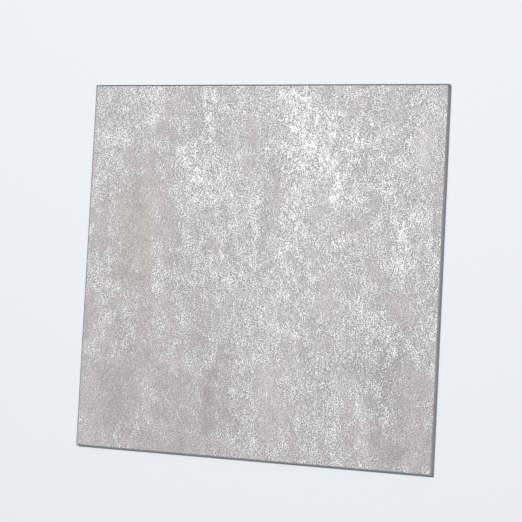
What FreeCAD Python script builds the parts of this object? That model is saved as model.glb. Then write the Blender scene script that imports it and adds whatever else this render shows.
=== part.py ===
import FreeCAD, Part
import os
import Sketcher

# A square vinyl floor tile lying face up, in millimetres.
# The origin is the middle of the underside, and +Z points out of the printed face.
# It is one rigid sheet: a flat slab with a shallow bevel milled along its four edges,
# a rolled shoulder where the face turns into the bevel, and die-cut corners.
SIZES = {
    "tile_side": 304.8,        # twelve inches from edge to edge
    "tile_thickness": 6.5,     # underside to printed face
    "bevel_width": 1.5,        # how far the bevel reaches in over the face
    "bevel_depth": 1.1,        # how far the bevel drops down the side
    "shoulder_radius": 0.9,    # rolled line between the face and the bevel
    "corner_radius": 0.6,      # die-cut corner, seen from above
    "back_arris": 0.3,         # small flat round the edge of the underside
}
CORNERS = 4
FULL_TURN = 360                # degrees

doc = FreeCAD.newDocument("VinylFloorTile")
sheet = doc.addObject("Spreadsheet::Sheet", "Sizes")
for row, (alias, value) in enumerate(SIZES.items(), start=1):
    sheet.set(f"A{row}", alias)
    sheet.set(f"B{row}", str(value))
    sheet.setAlias(f"B{row}", alias)
doc.recompute()


def origin_feature(body, role):
    """Return the body's own origin plane or axis that has this role."""
    for feature in body.Origin.OriginFeatures:
        if feature.Role == role:
            return feature
    raise ValueError(f"the origin has no {role}")


def sketch_on_underside(body, name):
    """Start a sketch on the plane of the tile's underside."""
    sketch = body.newObject("Sketcher::SketchObject", name)
    sketch.AttachmentSupport = [(origin_feature(body, "XY_Plane"), "")]
    sketch.MapMode = "FlatFace"
    return sketch


def bind(sketch, constraint, name, expression):
    """Add a dimension to the sketch and drive it from the sheet."""
    number = sketch.addConstraint(constraint)
    sketch.renameConstraint(number, name)
    sketch.setExpression(f"Constraints.{name}", expression)


def draw_square(sketch, side):
    """Draw a square centred on the origin."""
    half = side / 2
    corners = [
        FreeCAD.Vector(-half, -half, 0),
        FreeCAD.Vector(half, -half, 0),
        FreeCAD.Vector(half, half, 0),
        FreeCAD.Vector(-half, half, 0),
    ]
    lines = [
        sketch.addGeometry(Part.LineSegment(corners[turn], corners[(turn + 1) % CORNERS]), False)
        for turn in range(CORNERS)
    ]
    for turn in range(CORNERS):
        following = lines[(turn + 1) % CORNERS]
        sketch.addConstraint(Sketcher.Constraint("Coincident", lines[turn], 2, following, 1))
        level = "Horizontal" if turn % 2 == 0 else "Vertical"
        sketch.addConstraint(Sketcher.Constraint(level, lines[turn]))
    # The first and third corners lie either side of the sketch's own origin.
    sketch.addConstraint(Sketcher.Constraint("Symmetric", lines[0], 1, lines[2], 1, -1, 1))
    sketch.addConstraint(Sketcher.Constraint("Equal", lines[0], lines[1]))
    width = Sketcher.Constraint("DistanceX", lines[0], 1, lines[0], 2, side)
    bind(sketch, width, "side", "Sizes.tile_side")


def draw_corner_waste(sketch, side, radius):
    """Draw what the die takes off the +X +Y corner: all that lies outside its arc."""
    half = side / 2
    past = half + radius
    middle = FreeCAD.Vector(half - radius, half - radius, 0)
    on_right = FreeCAD.Vector(half, half - radius, 0)
    on_top = FreeCAD.Vector(half - radius, half, 0)
    far_right = FreeCAD.Vector(past, half - radius, 0)
    far_corner = FreeCAD.Vector(past, past, 0)
    far_top = FreeCAD.Vector(half - radius, past, 0)
    quarter = Part.Circle(middle, FreeCAD.Vector(0, 0, 1), radius)
    start = quarter.parameter(on_right)
    end = quarter.parameter(on_top)
    arc = sketch.addGeometry(Part.ArcOfCircle(quarter, start, end), False)
    top_cut = sketch.addGeometry(Part.LineSegment(on_top, far_top), False)
    top_rim = sketch.addGeometry(Part.LineSegment(far_top, far_corner), False)
    right_rim = sketch.addGeometry(Part.LineSegment(far_corner, far_right), False)
    right_cut = sketch.addGeometry(Part.LineSegment(far_right, on_right), False)

    sketch.addConstraint(Sketcher.Constraint("Coincident", arc, 2, top_cut, 1))
    sketch.addConstraint(Sketcher.Constraint("Coincident", top_cut, 2, top_rim, 1))
    sketch.addConstraint(Sketcher.Constraint("Coincident", top_rim, 2, right_rim, 1))
    sketch.addConstraint(Sketcher.Constraint("Coincident", right_rim, 2, right_cut, 1))
    sketch.addConstraint(Sketcher.Constraint("Coincident", right_cut, 2, arc, 1))
    for line in (top_rim, right_cut):
        sketch.addConstraint(Sketcher.Constraint("Horizontal", line))
    for line in (top_cut, right_rim):
        sketch.addConstraint(Sketcher.Constraint("Vertical", line))
    # A quarter turn: each end of the arc is level with its middle.
    sketch.addConstraint(Sketcher.Constraint("Horizontal", arc, 3, arc, 1))
    sketch.addConstraint(Sketcher.Constraint("Vertical", arc, 3, arc, 2))
    right_end = Sketcher.Constraint("DistanceX", -1, 1, arc, 1, half)
    bind(sketch, right_end, "half_side_x", "Sizes.tile_side / 2")
    top_end = Sketcher.Constraint("DistanceY", -1, 1, arc, 2, half)
    bind(sketch, top_end, "half_side_y", "Sizes.tile_side / 2")
    bind(sketch, Sketcher.Constraint("Radius", arc, radius), "corner", "Sizes.corner_radius")
    # The waste runs one corner radius past the slab, clear of both its sides.
    past_right = Sketcher.Constraint("DistanceX", -1, 1, top_rim, 2, past)
    bind(sketch, past_right, "far_x", "Sizes.tile_side / 2 + Sizes.corner_radius")
    past_top = Sketcher.Constraint("DistanceY", -1, 1, top_rim, 2, past)
    bind(sketch, past_top, "far_y", "Sizes.tile_side / 2 + Sizes.corner_radius")


def equal(first, second):
    """Say whether two lengths are the same but for rounding."""
    return round(first - second, 6) == 0


def edges_at_height(shape, height):
    """Name the edges that lie wholly at one height above the underside."""
    names = []
    for number, edge in enumerate(shape.Edges, start=1):
        if all(equal(vertex.Z, height) for vertex in edge.Vertexes):
            names.append(f"Edge{number}")
    return names


def must_shrink(before, after):
    """Stop if a step that takes material away has left the slab as it was."""
    doc.recompute()
    taken_off = before.Shape.Volume - after.Shape.Volume
    if round(taken_off, 6) <= 0:
        raise ValueError(f"{after.Name} takes nothing off {before.Name}")


def make_floor_tile():
    """Build the tile as one body, in the order in which such a tile is made."""
    tile = doc.addObject("PartDesign::Body", "FloorTile")
    tile.Label = "floor_tile"
    tile.Placement = FreeCAD.Placement()
    doc.recompute()

    slab_sketch = sketch_on_underside(tile, "SlabSketch")
    draw_square(slab_sketch, sheet.tile_side)
    slab = tile.newObject("PartDesign::Pad", "Slab")
    slab.Profile = slab_sketch
    slab.setExpression("Length", "Sizes.tile_thickness")
    doc.recompute()

    # The bevel is milled in four straight passes, so its faces meet in mitres at the corners.
    # Its first distance runs down the side and its second in over the face.
    bevel = tile.newObject("PartDesign::Chamfer", "Bevel")
    bevel.Base = (slab, edges_at_height(slab.Shape, sheet.tile_thickness))
    bevel.ChamferType = "Two distances"
    bevel.setExpression("Size", "Sizes.bevel_depth")
    bevel.setExpression("Size2", "Sizes.bevel_width")
    must_shrink(slab, bevel)
    face_side = sheet.tile_side - 2 * sheet.bevel_width
    for name in edges_at_height(bevel.Shape, sheet.tile_thickness):
        if not equal(bevel.Shape.getElement(name).Length, face_side):
            raise ValueError("the bevel's width and depth have changed places")

    arris = tile.newObject("PartDesign::Chamfer", "BackArris")
    arris.Base = (bevel, edges_at_height(bevel.Shape, 0))
    arris.setExpression("Size", "Sizes.back_arris")
    must_shrink(bevel, arris)

    waste_sketch = sketch_on_underside(tile, "CornerWasteSketch")
    draw_corner_waste(waste_sketch, sheet.tile_side, sheet.corner_radius)
    corner_cut = tile.newObject("PartDesign::Pocket", "CornerCut")
    corner_cut.Profile = waste_sketch
    corner_cut.Type = "ThroughAll"
    corner_cut.Reversed = True
    must_shrink(arris, corner_cut)

    corners = tile.newObject("PartDesign::PolarPattern", "CornerCuts")
    corners.Originals = [corner_cut]
    corners.Axis = (origin_feature(tile, "Z_Axis"), [""])
    corners.Angle = FULL_TURN
    corners.Occurrences = CORNERS
    tile.Tip = corners
    must_shrink(corner_cut, corners)

    shoulder = tile.newObject("PartDesign::Fillet", "Shoulder")
    shoulder.Base = (corners, edges_at_height(corners.Shape, sheet.tile_thickness))
    shoulder.setExpression("Radius", "Sizes.shoulder_radius")
    must_shrink(corners, shoulder)
    tile.Tip = shoulder
    doc.recompute()
    return tile


sub_parts = [make_floor_tile()]

for item in doc.Objects:
    if "Invalid" in item.State or "Error" in item.State:
        raise ValueError(f"{item.Label} could not be built: {item.State}")
for sub_part in sub_parts:
    if sub_part.Shape.isNull() or not sub_part.Shape.isValid():
        raise ValueError(f"{sub_part.Label} has no sound shape")

os.makedirs("parts", exist_ok=True)
for sub_part in sub_parts:
    shape = sub_part.Shape
    shape.exportStep(f"parts/{sub_part.Label}.step")
    box = shape.BoundBox
    print(
        f"{sub_part.Label}: {len(shape.Solids)} solid, {len(shape.Faces)} faces, "
        f"{shape.Volume:.1f} mm3, {box.XLength:.2f} x {box.YLength:.2f} x {box.ZLength:.2f} mm"
    )
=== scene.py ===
import math
import bmesh
import bpy
from mathutils import Matrix, Vector, noise


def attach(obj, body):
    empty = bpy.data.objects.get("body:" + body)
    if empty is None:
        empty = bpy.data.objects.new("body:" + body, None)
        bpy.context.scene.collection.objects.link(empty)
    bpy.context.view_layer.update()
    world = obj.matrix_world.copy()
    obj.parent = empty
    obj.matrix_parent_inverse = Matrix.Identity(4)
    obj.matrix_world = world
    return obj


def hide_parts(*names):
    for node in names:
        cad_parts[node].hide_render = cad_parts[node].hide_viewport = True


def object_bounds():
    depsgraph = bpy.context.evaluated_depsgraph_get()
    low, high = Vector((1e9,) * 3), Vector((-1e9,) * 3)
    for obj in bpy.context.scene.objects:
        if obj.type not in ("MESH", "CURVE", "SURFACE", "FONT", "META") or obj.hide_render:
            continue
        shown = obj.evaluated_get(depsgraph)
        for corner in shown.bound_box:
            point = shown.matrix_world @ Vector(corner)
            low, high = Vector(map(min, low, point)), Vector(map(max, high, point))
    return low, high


# A square vinyl floor tile with a pale concrete-look print, lying face up on a plain studio floor.
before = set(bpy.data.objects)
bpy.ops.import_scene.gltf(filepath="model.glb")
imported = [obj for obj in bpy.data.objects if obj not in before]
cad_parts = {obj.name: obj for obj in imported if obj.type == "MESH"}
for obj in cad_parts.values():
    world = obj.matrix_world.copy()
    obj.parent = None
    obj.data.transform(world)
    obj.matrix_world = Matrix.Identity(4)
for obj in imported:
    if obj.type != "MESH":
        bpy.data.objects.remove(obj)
cadLow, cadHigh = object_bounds()
side = cadHigh.x - cadLow.x
thickness = cadHigh.z - cadLow.z
half = side / 2
print(f"frame loaded: {side * 1000:.1f} mm square, {thickness * 1000:.1f} mm thick")


def linear(*levels):
    # screen levels of 0 to 255 to the shader's linear colour
    channels = [level / 255 for level in levels]
    lit = [c / 12.92 if c <= 0.04045 else ((c + 0.055) / 1.055) ** 2.4 for c in channels]
    return (*lit, 1.0)


def newNode(tree, kind, inputs=None, **settings):
    # inputs hold plain values, or sockets to be linked
    node = tree.nodes.new(kind)
    for name, value in settings.items():
        setattr(node, name, value)
    for name, value in (inputs or {}).items():
        if isinstance(value, bpy.types.NodeSocket):
            tree.links.new(value, node.inputs[name])
        else:
            node.inputs[name].default_value = value
    return node


def newMath(tree, operation, first, second=0.0, third=0.0, clamp=False):
    values = {0: first, 1: second, 2: third}
    return newNode(tree, "ShaderNodeMath", values, operation=operation, use_clamp=clamp).outputs[0]


def newVector(tree, operation, *vectors):
    values = dict(enumerate(vectors))
    return newNode(tree, "ShaderNodeVectorMath", values, operation=operation).outputs[0]


def newScaled(tree, vector, amount):
    values = {0: vector, "Scale": amount}
    return newNode(tree, "ShaderNodeVectorMath", values, operation="SCALE").outputs[0]


def newMeasure(tree, operation, *vectors):
    # a plain number read from one or two vectors
    values = dict(enumerate(vectors))
    return newNode(tree, "ShaderNodeVectorMath", values, operation=operation).outputs["Value"]


def newRange(tree, value, low, high, start=0.0, end=1.0, smooth=False):
    # low becomes start and high becomes end, and neither is passed
    inputs = {"Value": value, "From Min": low, "From Max": high, "To Min": start, "To Max": end}
    settings = {"interpolation_type": "SMOOTHSTEP" if smooth else "LINEAR", "clamp": not smooth}
    return newNode(tree, "ShaderNodeMapRange", inputs, **settings).outputs[0]


def newMix(tree, factor, first, second, blend="MIX"):
    # sockets by number, because the node's other kinds of mix use the same names
    values = {0: factor, 6: first, 7: second}
    settings = {"data_type": "RGBA", "blend_type": blend}
    return newNode(tree, "ShaderNodeMix", values, **settings).outputs[2]


def newNoise(tree, place, scale, detail, roughness=0.5, dimensions="2D"):
    inputs = {"Vector": place, "Scale": scale, "Detail": detail, "Roughness": roughness}
    return newNode(tree, "ShaderNodeTexNoise", inputs, noise_dimensions=dimensions)


def newSwing(tree, place, scale, detail, roughness=0.5, dimensions="2D"):
    # noise that swings about zero
    waves = newNoise(tree, place, scale, detail, roughness, dimensions)
    return newMath(tree, "SUBTRACT", waves.outputs["Fac"], 0.5)


def newCells(tree, place, scale):
    # one random number for each small cell
    inputs = {"Vector": place, "Scale": scale}
    cells = newNode(tree, "ShaderNodeTexVoronoi", inputs, voronoi_dimensions="2D", feature="F1")
    return newNode(tree, "ShaderNodeSeparateColor", {0: cells.outputs["Color"]}).outputs["Red"]


def newRamp(tree, value, stops):
    # stops are pairs of a place from 0 to 1 and a colour
    ramp = newNode(tree, "ShaderNodeValToRGB", {"Fac": value})
    first, last = ramp.color_ramp.elements
    (first.position, first.color), (last.position, last.color) = stops[0], stops[-1]
    for position, colour in stops[1:-1]:
        ramp.color_ramp.elements.new(position).color = colour
    return ramp.outputs["Color"]


def greyStops(tones):
    # screen greys with one level more of blue
    return [(at, linear(tone, tone, tone + 1)) for at, tone in tones]


def addBump(tree, shader, height, depth):
    inputs = {"Height": height, "Distance": depth, "Strength": 0.6}
    bump = newNode(tree, "ShaderNodeBump", inputs)
    tree.links.new(bump.outputs["Normal"], shader.inputs["Normal"])


def newGroup(name, inputs, outputs):
    tree = bpy.data.node_groups.new(name, "ShaderNodeTree")
    for label, kind, value in inputs:
        socket = tree.interface.new_socket(label, in_out="INPUT", socket_type=kind)
        socket.default_value = value
    for label, kind in outputs:
        tree.interface.new_socket(label, in_out="OUTPUT", socket_type=kind)
    return tree, tree.nodes.new("NodeGroupInput"), tree.nodes.new("NodeGroupOutput")


def placeGroup(tree, group, inputs):
    return newNode(tree, "ShaderNodeGroup", inputs, node_tree=group)


def newObject(name, data):
    holder = bpy.data.objects.new(name, data)
    bpy.context.scene.collection.objects.link(holder)
    return holder


def newMeshObject(name, mesh):
    data = bpy.data.meshes.new(name)
    mesh.to_mesh(data)
    mesh.free()
    return newObject(name, data)


def newMaterial(name):
    # gives the material, its tree, its shader and the place on the tile in millimetres
    material = bpy.data.materials.new(name)
    material.use_nodes = True
    tree = material.node_tree
    shader = tree.nodes["Principled BSDF"]
    place = tree.nodes.new("ShaderNodeTexCoord").outputs["Object"]
    return material, tree, shader, newScaled(tree, place, 1000.0)


# Effects that the finishes share


def makeGrainGroup():
    # mineral grain: fine, with a share of coarser grain, as a signed value about zero
    tree, entry, leave = newGroup(
        "mineralGrain",
        [
            ("Place", "NodeSocketVector", (0, 0, 0)),
            ("Grain Size", "NodeSocketFloat", 1.0),
            ("Coarse Share", "NodeSocketFloat", 0.5),
        ],
        [("Grain", "NodeSocketFloat")],
    )
    place, coarseShare = entry.outputs["Place"], entry.outputs["Coarse Share"]
    fineScale = newMath(tree, "DIVIDE", 1.0, entry.outputs["Grain Size"])
    # the coarser grain is nearly two and a half times as large
    coarseScale = newMath(tree, "MULTIPLY", fineScale, 0.42)
    fine = newNoise(tree, place, fineScale, 0.0, 0.5, "3D").outputs["Fac"]
    coarse = newNoise(tree, place, coarseScale, 0.0, 0.5, "3D").outputs["Fac"]
    mixed = newNode(tree, "ShaderNodeMix", {0: coarseShare, 2: fine, 3: coarse}).outputs[0]
    tree.links.new(newMath(tree, "SUBTRACT", mixed, 0.5), leave.inputs["Grain"])
    return tree


def makeTrailGroup():
    # adds one soft drawn-out patch to a running sum; Weight is (tone, flecks, warmth)
    vectorKind = "NodeSocketVector"
    tree, entry, leave = newGroup(
        "trowelTrailAndShade",
        [
            ("Sum", vectorKind, (0, 0, 0)),
            ("Place", vectorKind, (0, 0, 0)),
            ("Start", vectorKind, (0, 0, 0)),
            ("Run", vectorKind, (1, 0, 0)),
            ("Reach", "NodeSocketFloat", 10.0),
            ("Weight", vectorKind, (0, 0, 0)),
        ],
        [("Sum", vectorKind)],
    )
    run = entry.outputs["Run"]
    fromStart = newVector(tree, "SUBTRACT", entry.outputs["Place"], entry.outputs["Start"])
    along = newMeasure(tree, "DOT_PRODUCT", fromStart, run)
    whole = newMeasure(tree, "DOT_PRODUCT", run, run)
    # least and greatest in place of a clamp, which Cycles would put off to the end of a long chain
    share = newMath(tree, "DIVIDE", along, whole)
    share = newMath(tree, "MAXIMUM", newMath(tree, "MINIMUM", share, 1.0), 0.0)
    gap = newVector(tree, "SUBTRACT", fromStart, newScaled(tree, run, share))
    distance = newMeasure(tree, "LENGTH", gap)
    soft = newRange(tree, distance, entry.outputs["Reach"], 0.0, smooth=True)
    added = newScaled(tree, entry.outputs["Weight"], soft)
    total = newVector(tree, "ADD", entry.outputs["Sum"], added)
    tree.links.new(total, leave.inputs["Sum"])
    return tree


grainGroup = makeGrainGroup()
trailGroup = makeTrailGroup()
print("shared effects made")


def placeGrain(tree, place, look):
    inputs = {
        "Place": place,
        "Grain Size": look["grainSize"],
        "Coarse Share": look["coarseShare"],
    }
    return placeGroup(tree, grainGroup, inputs).outputs["Grain"]


# The printed face

# Patches of the print, with one band of painted shade, placed in millimetres from the tile's
# middle:
# from x, y to x, y, how far it reaches, then its tone, flecks and warmth.
trails = [
    # broad tones; the first is painted shade, darkening the print towards the near edge
    (-110, -120, 110, -120, 130, -0.30, 0.00, 0.0),
    (30, 120, 70, 20, 75, 0.35, 0.30, 0.0),
    (-105, -70, -70, -130, 70, -0.60, -0.50, 0.0),
    (-112, 60, -110, -5, 40, -0.32, -0.30, 0.5),
    (-99, 64, -97, 12, 24, 0.00, -0.35, 0.2),
    (118, -80, 130, -135, 45, -0.55, 0.00, 0.0),
    (10, -25, 20, -60, 38, 0.35, 0.00, 0.0),
    # upper right: the brightest sweep and its neighbours
    (16, 148, 22, 132, 13, 0.40, 0.75, 0.0),
    (8, 134, 10, 126, 12, 0.20, 0.20, 0.0),
    (20, 98, 30, 84, 11, 0.15, 0.90, 0.0),
    (30, 142, 35, 106, 15, -0.10, 1.45, 0.0),
    (41, 134, 42, 124, 11, 0.35, 0.30, 0.0),
    (38, 112, 42, 104, 9, -0.90, 0.00, 0.0),
    (46, 101, 54, 86, 14, 0.05, 1.20, 0.0),
    (64, 80, 67, 58, 11, -0.30, 1.00, 0.0),
    (41, 68, 42, 54, 14, 0.85, 0.20, 0.0),
    (57, 122, 60, 108, 11, 0.50, 0.80, 0.0),
    (74, 120, 90, 72, 17, 0.10, 0.70, 0.0),
    (128, 140, 131, 126, 13, 0.35, 0.20, 0.0),
    (134, 113, 136, 94, 13, 1.45, -0.30, 0.0),
    (147, 146, 147, 120, 9, 0.80, 0.00, 0.0),
    (95, 104, 98, 96, 10, 0.10, 0.60, 0.0),
    (146, 26, 146, 10, 10, 0.00, 0.40, 0.0),
    (146, 70, 146, 46, 9, 0.00, -0.40, 0.0),
    (103, 92, 112, 86, 10, 0.25, 0.30, 0.0),
    (127, 50, 118, 38, 14, 0.60, 0.50, 0.0),
    (120, 30, 118, 8, 10, 1.00, 0.90, 0.0),
    (134, 60, 138, 50, 10, -0.40, 0.20, 0.0),
    (88, 94, 89, 80, 11, -0.50, -0.70, 0.0),
    (86, 84, 88, 40, 18, -0.30, 0.00, 0.0),
    (74, 131, 76, 126, 13, -0.20, -0.60, 0.0),
    (60, 46, 84, 40, 13, -0.10, -0.55, 0.0),
    (95, 62, 97, 50, 10, -0.35, -0.40, 0.0),
    (110, 72, 111, 60, 13, 0.20, 0.80, 0.0),
    (86, 16, 90, -8, 10, -0.75, -0.30, 0.0),
    (100, 6, 105, -6, 11, -0.45, -0.60, 0.0),
    (48, 18, 50, 0, 8, 0.00, -0.50, 0.0),
    (104, 31, 106, 20, 9, 0.00, -0.40, 0.0),
    (34, 56, 32, 44, 8, 0.50, 0.30, 0.0),
    (52, 36, 55, 25, 9, 0.45, 0.30, 0.0),
    (72, 30, 70, 18, 9, -0.90, -0.10, 0.0),
    (23, 25, 23, -22, 8, 0.40, 0.40, 0.0),
    (26, 66, 28, 18, 11, 0.10, 0.50, 0.0),
    (44, 44, 43, 34, 8, -0.40, -0.30, 0.0),
    (50, 66, 50, 42, 11, 0.15, -0.50, 0.0),
    (62, 6, 66, -28, 15, -0.10, -0.40, 0.0),
    (8, 88, 9, 72, 11, -0.55, -0.20, 0.0),
    (14, 66, 16, 58, 11, 0.00, -0.50, 0.0),
    (-8, 122, -7, 106, 13, -0.30, -0.70, 0.0),
    # upper left
    (-97, 150, -99, 119, 12, 0.90, 0.30, 0.0),
    (-135, 108, -126, 106, 10, 1.15, 0.50, 0.0),
    (-145, 82, -147, 56, 10, 0.40, 0.20, 0.0),
    (-66, 98, -56, 78, 12, 0.55, 1.20, 0.0),
    (-54, 62, -42, 58, 13, 0.00, 0.50, 0.0),
    (-46, 100, -44, 88, 10, 0.20, 0.60, 0.0),
    (-90, 136, -84, 132, 12, 0.00, -0.50, 0.0),
    (-137, 136, -137, 124, 10, 0.35, 0.20, 0.0),
    (-120, 126, -120, 112, 10, -0.50, 0.00, 0.0),
    (-80, 64, -80, 6, 12, -0.40, -0.45, 0.0),
    (-120, 46, -116, 28, 11, 0.00, -0.30, 0.0),
    (-73, 24, -73, -8, 13, -0.60, -0.10, 0.0),
    (-66, 64, -40, 62, 17, 0.50, 0.30, 0.0),
    (-32, 77, -30, 63, 13, 1.20, 0.30, 0.0),
    (-23, 60, -10, 56, 10, 0.70, 0.40, 0.0),
    (-22, 56, -18, 36, 11, 0.85, 0.20, 0.0),
    (-30, 34, -34, 8, 10, 0.50, 0.00, 0.0),
    (-29, 93, -14, 96, 10, 0.85, 0.20, 0.0),
    (-48, 140, -44, 118, 11, 0.50, 0.90, 0.0),
    (-24, 144, -10, 140, 10, 0.45, 0.20, 0.0),
    (-66, 139, -62, 131, 9, -0.50, -0.10, 0.0),
    (-88, 117, -78, 106, 12, -0.60, -0.70, 0.0),
    (-96, 62, -92, 32, 13, 0.45, 0.00, 0.0),
    (-118, 92, -96, 90, 13, -0.35, -0.40, 0.0),
    (-40, 110, -36, 105, 8, -0.50, -0.30, 0.0),
    (-8, 58, -2, 32, 9, 0.30, 0.40, 0.0),
    (-4, 22, 0, -2, 12, 0.00, 0.20, 0.0),
    (-22, 22, -21, 16, 7, -0.40, -0.20, 0.0),
    (-8, 2, -13, -36, 13, -0.35, 0.00, 0.0),
    (-26, 0, -24, -10, 10, -0.50, 0.00, 0.0),
    (-10, 90, -8, 78, 10, 0.00, -0.60, 0.0),
    (-144, 40, -142, 22, 13, -0.15, -0.60, 0.2),
    # lower left
    (-87, 20, -86, -18, 8, 0.70, 0.40, 0.0),
    (-85, -22, -77, -50, 10, 0.50, 0.10, 0.0),
    (-77, -50, -72, -78, 16, 0.45, 0.10, 0.0),
    (-143, 0, -141, -10, 9, 0.35, 0.00, 0.0),
    (-112, -42, -112, -66, 13, 0.00, 0.45, 0.0),
    (-140, -96, -140, -140, 28, 0.00, -0.50, 0.0),
    (-96, -24, -64, -46, 16, 0.00, -0.15, 0.0),
    (-130, -46, -144, -68, 12, 0.95, 0.10, 0.0),
    (-122, -5, -104, -12, 11, -0.55, -0.30, 0.2),
    (-70, 4, -58, -18, 13, -0.40, 0.10, 0.0),
    (-40, -18, -33, -46, 11, -0.35, -0.15, 0.0),
    (-44, -60, -18, -70, 10, -0.75, -0.30, 0.0),
    (-53, -20, -46, -52, 13, -0.40, -0.30, 0.0),
    (-74, -84, -73, -94, 10, 0.00, -0.60, 0.0),
    (-148, -30, -147, -50, 11, -0.55, -0.65, 0.0),
    (-64, -78, -46, -84, 10, 0.85, -0.10, 0.0),
    (-34, -82, -27, -98, 12, -1.15, -0.30, 0.0),
    (-37, -102, -37, -128, 12, -1.20, -0.55, 0.2),
    (-22, -112, -14, -124, 12, -0.70, -0.30, 0.0),
    (-122, -92, -112, -134, 15, -0.75, -0.20, 0.0),
    (-94, -92, -86, -126, 14, 0.70, 0.20, 0.0),
    # lower right
    (8, -28, 22, -40, 17, 0.50, 0.10, 0.0),
    (8, -66, 18, -74, 10, 0.50, 0.10, 0.0),
    (39, -47, 40, -54, 8, 0.50, 0.10, 0.0),
    (84, -30, 96, -36, 15, 0.50, 0.30, 0.0),
    (112, -42, 119, -56, 13, 0.00, 0.70, 0.0),
    (108, -64, 113, -112, 12, -1.35, 0.10, 0.0),
    (49, -30, 50, -40, 9, -0.75, -0.50, 0.0),
    (56, -16, 57, -28, 12, 0.00, -0.45, 0.0),
    (116, -32, 122, -38, 11, -0.50, -0.30, 0.0),
    (120, -20, 129, -31, 13, 0.00, -0.60, 0.0),
    (124, -72, 142, -80, 13, -0.10, -0.50, 0.0),
    (48, -58, 78, -62, 14, 0.00, -0.20, 0.0),
    (132, -96, 140, -140, 22, 0.00, -0.55, 0.0),
    (104, -58, 118, -64, 11, -1.00, 0.00, 0.0),
    (80, -70, 104, -76, 12, -0.55, 0.00, 0.0),
    (16, -84, 24, -102, 13, 0.85, -0.30, 0.0),
    (10, -79, 38, -77, 9, 0.00, -0.40, 0.0),
    (10, -118, 20, -136, 13, 0.10, -0.50, 0.0),
    (12, -96, 24, -118, 16, 0.55, -0.35, 0.0),
    (50, -112, 60, -120, 13, 0.50, 0.10, 0.0),
    (31, -108, 33, -128, 9, 0.00, -0.40, 0.0),
    (-12, -90, -6, -104, 9, 0.00, -0.35, 0.0),
    (76, -84, 92, -108, 11, 0.40, -0.30, 0.0),
    (95, -108, 97, -140, 11, 1.05, -0.30, 0.0),
    (139, -20, 140, -40, 10, -0.50, 0.00, 0.0),
    (60, -20, 62, -34, 9, 0.80, 0.20, 0.0),
    (-140, -149, 140, -149, 10, 0.00, -0.20, 0.0),
    (50, -84, 66, -82, 9, -0.50, -0.20, 0.0),
    (108, -130, 122, -138, 13, -0.80, -0.60, 0.0),
]

printFace = {
    # sizes in millimetres
    "bendSize": 16.0,
    "bendReach": 17.0,
    "patchSize": 16.0,
    "streakSize": 13.0,
    "clumpSize": 8.5,
    "fleckSize": 2.6,
    "speckSize": 0.95,
    "sandSize": 0.77,
    "driftSize": 45.0,
    # under 1 draws a pattern out along that axis
    "patchStretch": (1, 0.68, 1),
    "streakStretch": (1, 0.18, 1),
    "fleckStretch": (1, 0.62, 1),
    "sandStretch": (0.88, 1.04, 1),
    # how busy the flecks are on bare print, and what trails and patches add to that
    "bareBusy": 0.42,
    "trailBusy": 0.72,
    "patchBusy": 0.8,
    # what a clump adds, and how much more it adds where it is busy already
    "clumpBusy": 0.40,
    "clumpGain": 2.1,
    # where the bare print lies between the darkest and lightest tone, and what is added to it
    "baseLevel": 0.410,
    "trailTone": 0.125,
    "patchTone": 0.25,
    "streakTone": 0.18,
    # what a mark is made of, before its strength scales it and it joins the tone
    "sandShare": 5.0,
    "bareGrain": 0.93,
    "fleckGrain": 0.50,
    "coreTone": 1.25,
    "saltTone": 0.15,
    "clumpTone": 0.75,
    "fleckRag": 0.05,          # how far the grain frays the edges of the flecks
    # ranges: a value's low and high ends, then what those become
    "clumpRange": (0.43, 0.65, -0.115, 0.215),
    "cutRange": (0.15, 1.35, 0.76, 0.47),
    "gainRange": (0.1, 1.3, 0.40, 1.55),
    "strengthRange": (0.15, 2.1, 0.22, 2.55),
    "warmRange": (0.55, 0.75, 0.0, 0.25),
    "raisedRange": (0.52, 0.66, 0.0, 0.35),
    "fleckEdge": (0.0, 0.04),
    "coreEdge": (0.05, 0.20),
    "saltEdge": (0.36, 0.46),
    "tones": (
        (0.0, linear(150, 148, 149)),
        (0.25, linear(177.3, 174.6, 175.8)),
        (0.5, linear(203.5, 200.6, 202)),
        (0.75, linear(230, 228.4, 230)),
        (1.0, linear(254, 254, 255)),
    ),
    "warmTint": linear(254, 255, 251),
    "trailWarmth": 1.4,
    "roughness": 0.62,
    "fleckSheen": 0.12,        # how much smoother the flecks are
    "specular": 0.35,
    "embossDepth": 0.00012,    # metres
}


def addTrails(tree, place):
    # ragged edges come from pushing every place a few millimetres about before the trails are read
    reachOut = printFace["bendReach"]
    bend = newNoise(tree, place, 1 / printFace["bendSize"], 4.0, 0.6).outputs["Color"]
    centred = newVector(tree, "SUBTRACT", bend, (0.5, 0.5, 0.5))
    pushed = newVector(tree, "MULTIPLY_ADD", centred, (reachOut, reachOut, 0), place)
    flat = newVector(tree, "MULTIPLY", pushed, (1, 1, 0))
    patches = None
    for startX, startY, endX, endY, reach, tone, flecks, warmth in trails:
        mark = {
            "Place": flat,
            "Start": (startX, startY, 0),
            "Run": (endX - startX, endY - startY, 0),
            "Reach": float(reach),
            "Weight": (tone, flecks, warmth),
        }
        if patches:
            mark["Sum"] = patches
        patches = placeGroup(tree, trailGroup, mark).outputs["Sum"]
    parts = newNode(tree, "ShaderNodeSeparateXYZ", {0: patches}).outputs
    return parts["X"], parts["Y"], parts["Z"]


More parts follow.
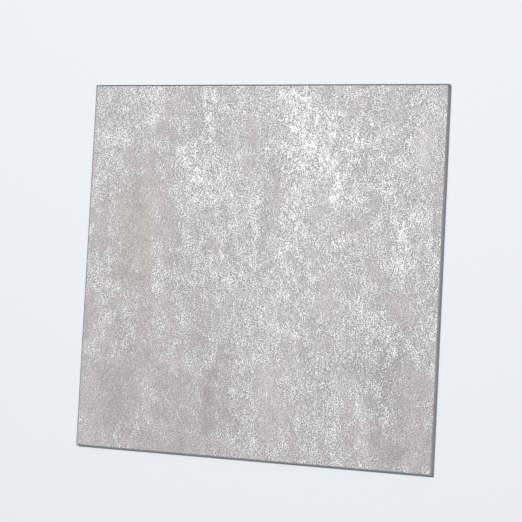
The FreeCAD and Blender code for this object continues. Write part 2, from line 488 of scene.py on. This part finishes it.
def makePrintFinish():
    material, tree, shader, place = newMaterial("concrete_print")
    look = printFace
    tone, flecks, warmth = addTrails(tree, place)

    # cloudy patches and the drawn-down streaks of the trowel
    cloudPlace = newVector(tree, "MULTIPLY", place, look["patchStretch"])
    cloud = newSwing(tree, cloudPlace, 1 / look["patchSize"], 4.0, 0.65)
    streakPlace = newVector(tree, "MULTIPLY", place, look["streakStretch"])
    streak = newSwing(tree, streakPlace, 1 / look["streakSize"], 4.0, 0.6)

    # how busy the flecks are: clumps of them, drawn a little downwards
    drawn = newVector(tree, "MULTIPLY", place, look["fleckStretch"])
    clumpNoise = newNoise(tree, drawn, 1 / look["clumpSize"], 5.0, 0.76).outputs["Fac"]
    clump = newRange(tree, clumpNoise, *look["clumpRange"], smooth=True)
    busy = newMath(tree, "MULTIPLY_ADD", flecks, look["trailBusy"], look["bareBusy"])
    busy = newMath(tree, "MULTIPLY_ADD", cloud, look["patchBusy"], busy)
    gathered = newMath(tree, "MULTIPLY_ADD", busy, look["clumpGain"], look["clumpBusy"])
    busy = newMath(tree, "MULTIPLY_ADD", clump, gathered, busy)

    # grain is fine sand and single specks, of which the lightest are salt
    specks = newMath(tree, "SUBTRACT", newCells(tree, drawn, 1 / look["speckSize"]), 0.5)
    salt = newRange(tree, specks, *look["saltEdge"], smooth=True)
    sandPlace = newVector(tree, "MULTIPLY", place, look["sandStretch"])
    sand = newSwing(tree, sandPlace, 1 / look["sandSize"], 0.0)
    grain = newMath(tree, "MULTIPLY_ADD", sand, look["sandShare"], specks)

    # a fleck is where its noise passes a cut, which is lower where the print is busy
    fleckNoise = newNoise(tree, drawn, 1 / look["fleckSize"], 3.0, 0.8).outputs["Fac"]
    cut = newRange(tree, busy, *look["cutRange"])
    above = newMath(tree, "SUBTRACT", fleckNoise, cut)
    above = newMath(tree, "MULTIPLY_ADD", grain, look["fleckRag"], above)
    fleck = newRange(tree, above, *look["fleckEdge"], smooth=True)
    core = newRange(tree, above, *look["coreEdge"], smooth=True)

    level = newMath(tree, "MULTIPLY_ADD", tone, look["trailTone"], look["baseLevel"])
    level = newMath(tree, "MULTIPLY_ADD", cloud, look["patchTone"], level)
    level = newMath(tree, "MULTIPLY_ADD", streak, look["streakTone"], level)
    # the grain shows more within the flecks than between them
    shown = newMath(tree, "MULTIPLY_ADD", fleck, look["fleckGrain"], look["bareGrain"])
    fleckGain = newRange(tree, busy, *look["gainRange"])
    marks = newMath(tree, "MULTIPLY", fleck, fleckGain)
    marks = newMath(tree, "MULTIPLY_ADD", grain, shown, marks)
    marks = newMath(tree, "MULTIPLY_ADD", core, look["coreTone"], marks)
    marks = newMath(tree, "MULTIPLY_ADD", salt, look["saltTone"], marks)
    marks = newMath(tree, "MULTIPLY_ADD", clump, look["clumpTone"], marks)
    strength = newRange(tree, busy, *look["strengthRange"])
    level = newMath(tree, "MULTIPLY_ADD", marks, strength, level, clamp=True)

    colour = newRamp(tree, level, look["tones"])
    warmNoise = newNoise(tree, place, 1 / look["driftSize"], 3.0, 0.5).outputs["Fac"]
    drift = newRange(tree, warmNoise, *look["warmRange"])
    warm = newMath(tree, "MULTIPLY_ADD", warmth, look["trailWarmth"], drift, clamp=True)
    tinted = newMix(tree, warm, colour, look["warmTint"], "MULTIPLY")
    tree.links.new(tinted, shader.inputs["Base Color"])

    roughness = newMath(tree, "MULTIPLY_ADD", fleck, -look["fleckSheen"], look["roughness"])
    tree.links.new(roughness, shader.inputs["Roughness"])
    shader.inputs["Specular IOR Level"].default_value = look["specular"]
    raised = newRange(tree, fleckNoise, *look["raisedRange"], smooth=True)
    addBump(tree, shader, newMath(tree, "ADD", raised, grain), look["embossDepth"])
    return material


# The painted bevel

bevelPaint = {
    # sizes, places and heights in millimetres
    "grainSize": 1.2,
    "coarseShare": 0.5,
    "driftSize": 40.0,
    "wearSize": 5.0,
    "farShadePlaces": (144.0, 151.5),
    "rimHeights": (6.1, 6.45),
    "wearEdge": (0.44, 0.62),
    "tones": ((0.0, 104), (0.55, 155), (1.0, 172)),
    "baseLevel": 0.55,
    "grainTone": 0.5,
    "driftTone": 0.25,
    "farShadeDip": 0.46,            # painted shade: the bevel is painted darker along the far edge
    "rubbedGain": 0.16,        # and is rubbed lighter where it meets the face
    "roughness": 0.5,
    "rubbedRoughness": 0.12,
    "brushDepth": 0.00003,     # metres
}


def makeBevelFinish():
    material, tree, shader, place = newMaterial("bevel_paint")
    look = bevelPaint
    grain = placeGrain(tree, place, look)
    axes = newNode(tree, "ShaderNodeSeparateXYZ", {0: place}).outputs
    drift = newSwing(tree, place, 1 / look["driftSize"], 3.0, 0.6, "3D")
    # painted shade: a darker band of bevel along the far edge
    far = newRange(tree, axes["Y"], *look["farShadePlaces"], smooth=True)
    wearNoise = newNoise(tree, place, 1 / look["wearSize"], 4.0, 0.7, "3D").outputs["Fac"]
    wear = newRange(tree, wearNoise, *look["wearEdge"], smooth=True)
    rubbed = newMath(tree, "MULTIPLY", newRange(tree, axes["Z"], *look["rimHeights"]), wear)

    level = newMath(tree, "MULTIPLY_ADD", grain, look["grainTone"], look["baseLevel"])
    level = newMath(tree, "MULTIPLY_ADD", drift, look["driftTone"], level)
    level = newMath(tree, "MULTIPLY_ADD", far, -look["farShadeDip"], level)
    level = newMath(tree, "MULTIPLY_ADD", rubbed, look["rubbedGain"], level, clamp=True)
    colour = newRamp(tree, level, greyStops(look["tones"]))
    tree.links.new(colour, shader.inputs["Base Color"])
    rough = newMath(tree, "MULTIPLY_ADD", rubbed, look["rubbedRoughness"], look["roughness"])
    tree.links.new(rough, shader.inputs["Roughness"])
    addBump(tree, shader, grain, look["brushDepth"])
    return material


# The cut sides

cutSide = {
    # sizes in millimetres
    "grainSize": 0.9,
    "coarseShare": 0.5,
    "driftSize": 30.0,
    "pitSize": 0.7,
    # under 1 draws a pattern out along that axis and over 1 crowds it
    "lineStretch": (0.06, 0.06, 2.4),
    "tickStretch": (2.2, 2.2, 0.12),
    "pitEdge": (0.66, 0.74),
    "tones": ((0.0, 110), (0.5, 145), (1.0, 176)),
    "baseLevel": 0.5,
    "grainTone": 0.6,
    "lineTone": 0.35,
    "tickTone": 0.15,
    "driftTone": 0.30,
    "pitDip": 0.28,
    "roughness": 0.72,
    # heights as shares of the depth of the saw marks
    "tickHeight": 0.8,
    "pitHeight": -1.2,
    "sawDepth": 0.00008,       # metres
}


def makeSideFinish():
    material, tree, shader, place = newMaterial("cut_core")
    look = cutSide
    grain = placeGrain(tree, place, look)
    # long lines left by the pressing, short upright ticks left by the cutter
    linePlace = newVector(tree, "MULTIPLY", place, look["lineStretch"])
    lines = newSwing(tree, linePlace, 1.0, 3.0, 0.6, "3D")
    tickPlace = newVector(tree, "MULTIPLY", place, look["tickStretch"])
    ticks = newSwing(tree, tickPlace, 1.0, 2.0, 0.6, "3D")
    drift = newSwing(tree, place, 1 / look["driftSize"], 3.0, 0.6, "3D")
    pitNoise = newNoise(tree, place, 1 / look["pitSize"], 2.0, 0.6, "3D").outputs["Fac"]
    pits = newRange(tree, pitNoise, *look["pitEdge"], smooth=True)

    level = newMath(tree, "MULTIPLY_ADD", grain, look["grainTone"], look["baseLevel"])
    level = newMath(tree, "MULTIPLY_ADD", lines, look["lineTone"], level)
    level = newMath(tree, "MULTIPLY_ADD", ticks, look["tickTone"], level)
    level = newMath(tree, "MULTIPLY_ADD", drift, look["driftTone"], level)
    level = newMath(tree, "MULTIPLY_ADD", pits, -look["pitDip"], level, clamp=True)
    colour = newRamp(tree, level, greyStops(look["tones"]))
    tree.links.new(colour, shader.inputs["Base Color"])
    shader.inputs["Roughness"].default_value = look["roughness"]
    height = newMath(tree, "MULTIPLY_ADD", ticks, look["tickHeight"], grain)
    height = newMath(tree, "ADD", lines, height)
    height = newMath(tree, "MULTIPLY_ADD", pits, look["pitHeight"], height)
    addBump(tree, shader, height, look["sawDepth"])
    return material


# The underside

underside = {
    # sizes in millimetres
    "grainSize": 1.6,
    "coarseShare": 0.4,
    "weavePitch": 2.2,
    "mottleSize": 22.0,
    "dustSize": 60.0,
    "dustEdge": (0.50, 0.70),
    "tones": ((0.0, 88), (0.5, 113), (1.0, 142)),
    "baseLevel": 0.46,
    "grainTone": 0.6,
    "weaveTone": 0.12,
    "mottleTone": 0.5,
    "dustTone": 0.16,
    "roughness": 0.8,
    "dustRoughness": 0.1,
    "grainHeight": 0.8,        # as a share of the weave's depth
    "weaveDepth": 0.00016,     # metres
}


def makeUndersideFinish():
    material, tree, shader, place = newMaterial("underside_facing")
    look = underside
    grain = placeGrain(tree, place, look)
    # a woven facing, whose threads run from corner to corner
    diagonal = (0, 0, math.pi / 4)
    turned = newNode(tree, "ShaderNodeMapping", {"Vector": place, "Rotation": diagonal})
    axes = newNode(tree, "ShaderNodeSeparateXYZ", {0: turned.outputs["Vector"]}).outputs
    turn = 2 * math.pi / look["weavePitch"]
    across = newMath(tree, "SINE", newMath(tree, "MULTIPLY", axes["X"], turn))
    down = newMath(tree, "SINE", newMath(tree, "MULTIPLY", axes["Y"], turn))
    weave = newMath(tree, "MULTIPLY", across, down)
    mottle = newSwing(tree, place, 1 / look["mottleSize"], 5.0, 0.65)
    dustNoise = newNoise(tree, place, 1 / look["dustSize"], 4.0, 0.6).outputs["Fac"]
    dust = newRange(tree, dustNoise, *look["dustEdge"], smooth=True)

    level = newMath(tree, "MULTIPLY_ADD", grain, look["grainTone"], look["baseLevel"])
    level = newMath(tree, "MULTIPLY_ADD", weave, look["weaveTone"], level)
    level = newMath(tree, "MULTIPLY_ADD", mottle, look["mottleTone"], level)
    level = newMath(tree, "MULTIPLY_ADD", dust, look["dustTone"], level, clamp=True)
    colour = newRamp(tree, level, greyStops(look["tones"]))
    tree.links.new(colour, shader.inputs["Base Color"])
    rough = newMath(tree, "MULTIPLY_ADD", dust, look["dustRoughness"], look["roughness"])
    tree.links.new(rough, shader.inputs["Roughness"])
    height = newMath(tree, "MULTIPLY_ADD", grain, look["grainHeight"], weave)
    addBump(tree, shader, height, look["weaveDepth"])
    return material


# The tile's mesh

tile = {
    # lengths in metres
    "bevelWidth": 0.0015,
    "bevelDepth": 0.0011,
    "shoulderRadius": 0.0009,
    "cornerRadius": 0.0006,
    "backArris": 0.0003,
    "roundSteps": 4,
    "faceCuts": 205,           # cuts across the face, which leave squares of about 1.5 mm
    "filmDrop": 0.16,          # the share of the bevel's depth that the printed film turns down
    "reliefDepth": 0.00006,
    "reliefFade": 0.004,       # the relief fades out this near the edge of the face
    "waveScale": (55, 24),     # trowel waves to the metre, across and down
    "waveSlice": 3.1,          # where the solid noise is cut for them
    "waveShare": 0.45,
    "dimpleScale": (190, 150),
    "dimpleSlice": 8.7,
    "dimpleShare": 0.35,
    "hair": 0.000001,          # too small a length to count
}


def faceRelief(x, y):
    # how far the pressed face dips, as a share of its depth: broad trowel waves and small dimples
    waveX, waveY = tile["waveScale"]
    dimpleX, dimpleY = tile["dimpleScale"]
    wavePlace = Vector((x * waveX, y * waveY, tile["waveSlice"]))
    dimplePlace = Vector((x * dimpleX, y * dimpleY, tile["dimpleSlice"]))
    waves = noise.fractal(wavePlace, 0.8, 2.1, 3)
    dimples = noise.fractal(dimplePlace, 0.7, 2.0, 2)
    dip = 0.5 + tile["waveShare"] * waves + tile["dimpleShare"] * dimples
    return min(1.0, max(0.0, dip))


def roundEdges(mesh, edges, offset):
    bmesh.ops.bevel(
        mesh,
        geom=edges,
        offset=offset,
        offset_type="OFFSET",
        affect="EDGES",
        segments=tile["roundSteps"],
        profile=0.5,
        material=-1,
    )


def finishNumber(polygon, bevelFoot):
    # which finish a polygon has, in the order in which buildTile adds them
    height = polygon.calc_center_median().z
    filmFoot = thickness - tile["bevelDepth"] * tile["filmDrop"]
    if height > filmFoot and polygon.normal.z > 0.5:
        return 0
    if height > bevelFoot:
        return 1
    if height > tile["backArris"]:
        return 2
    return 3


def buildTile():
    size = tile
    slope = math.atan2(size["bevelDepth"], size["bevelWidth"])
    setback = size["shoulderRadius"] * math.tan(slope / 2)
    bevelFoot = thickness - size["bevelDepth"]
    mesh = bmesh.new()
    bmesh.ops.create_cube(mesh, size=1.0)
    bmesh.ops.scale(mesh, vec=(side, side, bevelFoot), verts=mesh.verts)
    bmesh.ops.translate(mesh, vec=(0, 0, bevelFoot / 2), verts=mesh.verts)

    # the bevel is the rim of the inset face once that is lifted to the full thickness
    face = max(mesh.faces, key=lambda f: f.calc_center_median().z)
    bmesh.ops.inset_region(mesh, faces=[face], thickness=size["bevelWidth"], use_even_offset=True)
    bmesh.ops.translate(mesh, vec=(0, 0, size["bevelDepth"]), verts=face.verts)
    back = min(mesh.faces, key=lambda f: f.calc_center_median().z)
    outerBack = list(back.verts)
    bmesh.ops.inset_region(mesh, faces=[back], thickness=size["backArris"], use_even_offset=True)
    bmesh.ops.translate(mesh, vec=(0, 0, size["backArris"]), verts=outerBack)
    roundEdges(mesh, list(face.edges), setback)

    # squares small enough to carry the relief, then the die-cut corners
    long = [edge for edge in mesh.edges if edge.calc_length() > side / 2]
    bmesh.ops.subdivide_edges(mesh, edges=long, cuts=size["faceCuts"], use_grid_fill=True)
    upright = [
        edge
        for edge in mesh.edges
        if abs(edge.verts[0].co.z - edge.verts[1].co.z) > bevelFoot / 2
        and min(abs(edge.verts[0].co.x), abs(edge.verts[0].co.y)) > half - size["backArris"]
    ]
    roundEdges(mesh, upright, size["cornerRadius"])

    flatHalf = half - size["bevelWidth"] - setback
    for vert in mesh.verts:
        fromEdge = flatHalf - max(abs(vert.co.x), abs(vert.co.y))
        if vert.co.z > thickness - size["hair"] and fromEdge > size["hair"]:
            fade = min(1.0, fromEdge / size["reliefFade"])
            vert.co.z -= size["reliefDepth"] * fade * faceRelief(vert.co.x, vert.co.y)

    for polygon in mesh.faces:
        polygon.smooth = True
        polygon.material_index = finishNumber(polygon, bevelFoot)
    bmesh.ops.recalc_face_normals(mesh, faces=mesh.faces)

    piece = newMeshObject("vinylTile", mesh)
    for makeFinish in (makePrintFinish, makeBevelFinish, makeSideFinish, makeUndersideFinish):
        piece.data.materials.append(makeFinish())
    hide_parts("floor_tile")
    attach(piece, "root")
    print(f"tile made: {len(piece.data.polygons)} faces")


buildTile()

# Studio

studio = {
    # lengths and places in metres, but for the camera's
    "floorSize": 8.0,
    "floorDrop": 0.00005,      # keeps the floor clear of the underside
    "floorOverlap": 0.0008,    # how far the floor reaches in under the tile
    "floorColour": linear(235.5, 239, 242),
    "floorRoughness": 0.9,
    "farColour": linear(238, 242, 245),
    "fadeStart": 0.5,          # from here on the floor as the camera sees it fades
    "fadeEnd": 1.8,            # to the plain pale colour of the room
    "worldLight": (0.19, 0.19, 0.19, 1.0),
    "lampSize": 0.55,
    "keyPlace": (0.05, 0.72, 3.5),
    "keyPower": 107.0,         # watts
    "underPlace": (0.0, 0.0, -3.5),
    "underPower": 88.0,
    "lens": 101.7,             # millimetres, like the sensor
    "sensor": 36.0,
    "shiftY": -0.0324,
    "cameraPlace": (1.3191, -0.1112, 3.6855),     # in tile sides, from the middle of the face
    "cameraRight": (0.94194, 0.05146, -0.33183),
    "cameraUp": (-0.03289, 0.99757, 0.06134),
    "cameraBack": (0.33418, -0.04687, 0.94134),
}


def makeFloorFinish():
    material = bpy.data.materials.new("studio_floor")
    material.use_nodes = True
    tree = material.node_tree
    shader = tree.nodes["Principled BSDF"]
    shader.inputs["Base Color"].default_value = studio["floorColour"]
    shader.inputs["Roughness"].default_value = studio["floorRoughness"]
    shader.inputs["Specular IOR Level"].default_value = 0.0
    # far off, the camera sees the floor run into the pale room
    place = tree.nodes.new("ShaderNodeTexCoord").outputs["Object"]
    distance = newMeasure(tree, "LENGTH", place)
    fade = newRange(tree, distance, studio["fadeStart"], studio["fadeEnd"], smooth=True)
    seen = newNode(tree, "ShaderNodeLightPath").outputs["Is Camera Ray"]
    glow = newNode(tree, "ShaderNodeEmission", {"Color": studio["farColour"]}).outputs[0]
    share = newMath(tree, "MULTIPLY", fade, seen)
    far = newNode(tree, "ShaderNodeMixShader", {0: share, 1: shader.outputs[0], 2: glow})
    # and from below, it is clear
    below = newNode(tree, "ShaderNodeNewGeometry").outputs["Backfacing"]
    clear = newNode(tree, "ShaderNodeBsdfTransparent").outputs[0]
    either = newNode(tree, "ShaderNodeMixShader", {0: below, 1: far.outputs[0], 2: clear})
    tree.links.new(either.outputs[0], tree.nodes["Material Output"].inputs["Surface"])
    return material


def makeFloor():
    reach = studio["floorSize"] / 2
    mesh = bmesh.new()
    bmesh.ops.create_grid(mesh, x_segments=1, y_segments=1, size=reach)
    bmesh.ops.translate(mesh, vec=(0, 0, -studio["floorDrop"]), verts=mesh.verts)
    # an opening hidden under the tile, so that the underside can be seen and lit from below
    middle = mesh.faces[:]
    rim = reach - half + studio["floorOverlap"]
    bmesh.ops.inset_region(
        mesh,
        faces=middle,
        thickness=rim,
        use_boundary=True,
        use_even_offset=True,
    )
    bmesh.ops.delete(mesh, geom=middle, context="FACES")
    floor = newMeshObject("studioFloor", mesh)
    floor.data.materials.append(makeFloorFinish())


def makeWorld():
    world = bpy.data.worlds.new("studioWorld")
    world.use_nodes = True
    tree = world.node_tree
    # the camera sees a pale room, and the object is lit by a dimmer one
    seen = newNode(tree, "ShaderNodeLightPath").outputs["Is Camera Ray"]
    colour = newMix(tree, seen, studio["worldLight"], studio["farColour"])
    tree.links.new(colour, tree.nodes["Background"].inputs["Color"])
    bpy.context.scene.world = world


def makeLamp(name, place, power):
    lamp = bpy.data.lights.new(name, "AREA")
    lamp.shape = "DISK"
    lamp.size = studio["lampSize"]
    lamp.energy = power
    holder = newObject(name, lamp)
    holder.location = place
    # a lamp shines down its own Z axis, here back to the tile's middle
    holder.rotation_euler = Vector(place).to_track_quat("Z", "Y").to_euler()
    holder.visible_camera = False


def makeCamera():
    data = bpy.data.cameras.new("studioCamera")
    data.lens = studio["lens"]
    data.sensor_width = studio["sensor"]
    data.shift_y = studio["shiftY"]
    camera = newObject("studioCamera", data)
    axes = (studio["cameraRight"], studio["cameraUp"], studio["cameraBack"])
    turn = Matrix(axes).transposed().to_4x4()
    place = Vector(studio["cameraPlace"]) * side + Vector((0, 0, thickness))
    camera.matrix_world = Matrix.Translation(place) @ turn
    bpy.context.scene.camera = camera


makeFloor()
makeWorld()
makeLamp("softKey", studio["keyPlace"], studio["keyPower"])
makeLamp("underLamp", studio["underPlace"], studio["underPower"])
makeCamera()
bpy.context.scene.view_settings.view_transform = "Standard"
print("studio made")
